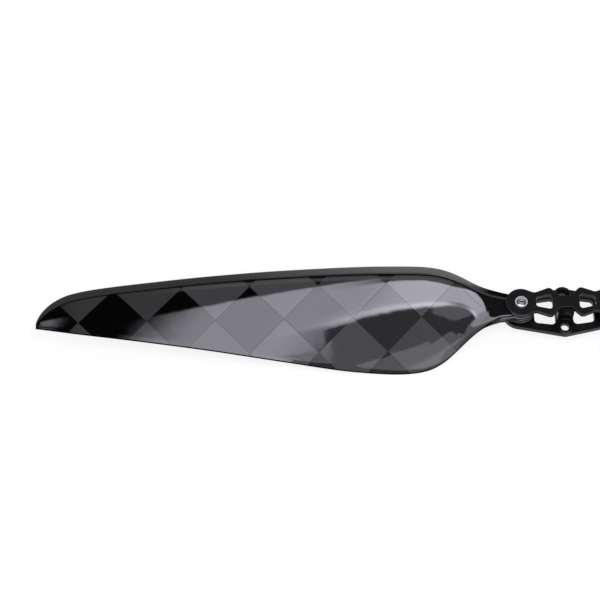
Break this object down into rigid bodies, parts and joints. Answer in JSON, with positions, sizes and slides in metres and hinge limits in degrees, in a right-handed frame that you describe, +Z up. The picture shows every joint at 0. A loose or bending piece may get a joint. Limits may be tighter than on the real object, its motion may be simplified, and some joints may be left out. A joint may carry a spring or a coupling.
{
  "type": "folding propeller",
  "caption": "Folding propeller for a large multirotor drone: carbon blades on upright pivot screws in a hub of plates and a post.",
  "frame": {"origin": "centre of the hub's flat underside, on the rotor axis, where the propeller sits on the motor", "axes": "+Z up along the rotor axis, away from the motor; X along the span through both pivots, with the left blade towards -X and its leading edge on +Y"},
  "size_m": [0.762, 0.0874, 0.0279],
  "materials": {
    "hub_plate": "satin black anodised",
    "gloss_carbon": "clear-coated spread-tow carbon cloth",
    "stainless_steel": "bright",
    "bearing_bronze": "satin",
    "slip_washer": "matt"
  },
  "bodies": {
    "hub": {"hub_bottom_plate": "hub_plate", "hub_top_plate": "hub_plate", "hub_centre_post": "hub_plate", "left_pivot_screw": "stainless_steel", "right_pivot_screw": "stainless_steel", "left_screw_washer": "stainless_steel", "right_screw_washer": "stainless_steel", "left_pivot_sleeve": "bearing_bronze", "right_pivot_sleeve": "bearing_bronze", "left_lower_thrust_washer": "slip_washer", "right_lower_thrust_washer": "slip_washer", "left_upper_thrust_washer": "slip_washer", "right_upper_thrust_washer": "slip_washer", "left_press_nut": "stainless_steel", "right_press_nut": "stainless_steel", "front_post_screw": "stainless_steel", "rear_post_screw": "stainless_steel", "left_dowel_pin": "stainless_steel", "right_dowel_pin": "stainless_steel"},
    "left_wing": {"left_blade": "gloss_carbon"},
    "right_wing": {"right_blade": "gloss_carbon"}
  },
  "joints": [
    {"name": "left_blade_fold", "type": "hinge", "parent": "hub", "child": "left_wing", "pos_m": [-0.032, 0, 0.0097], "axis": [0, 0, 1], "range_deg": [-90, 90]},
    {"name": "right_blade_fold", "type": "hinge", "parent": "hub", "child": "right_wing", "pos_m": [0.032, 0, 0.0097], "axis": [0, 0, 1], "range_deg": [-90, 90]}
  ]
}
